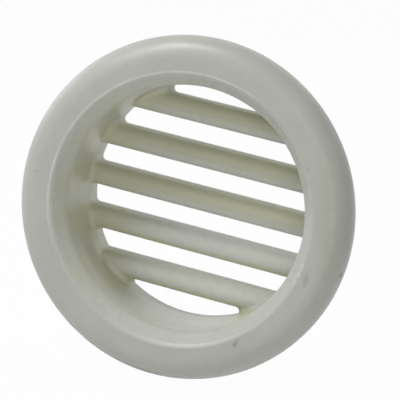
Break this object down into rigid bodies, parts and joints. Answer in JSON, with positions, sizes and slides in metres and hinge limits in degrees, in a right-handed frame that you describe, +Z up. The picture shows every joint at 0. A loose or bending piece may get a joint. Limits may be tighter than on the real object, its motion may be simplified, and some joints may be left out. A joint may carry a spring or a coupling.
{
  "type": "round vent cover",
  "caption": "Round moulded vent cover with a rounded rim, a deep recessed louvre grille and a plain spigot that pushes into a hole in a panel.",
  "frame": {"origin": "on the spigot's axis, in the plane where the back of the rim meets the panel", "axes": "+Z up across the bars, +X along the bars, +Y back along the spigot, so the front faces -Y"},
  "size_m": [0.086, 0.0273, 0.086],
  "materials": {
    "moulded_plastic": "satin moulded off-white plastic, slightly yellowed, with fine moulding grain and a few specks"
  },
  "bodies": {
    "root": {"vent_cover": "moulded_plastic"}
  },
  "joints": []
}
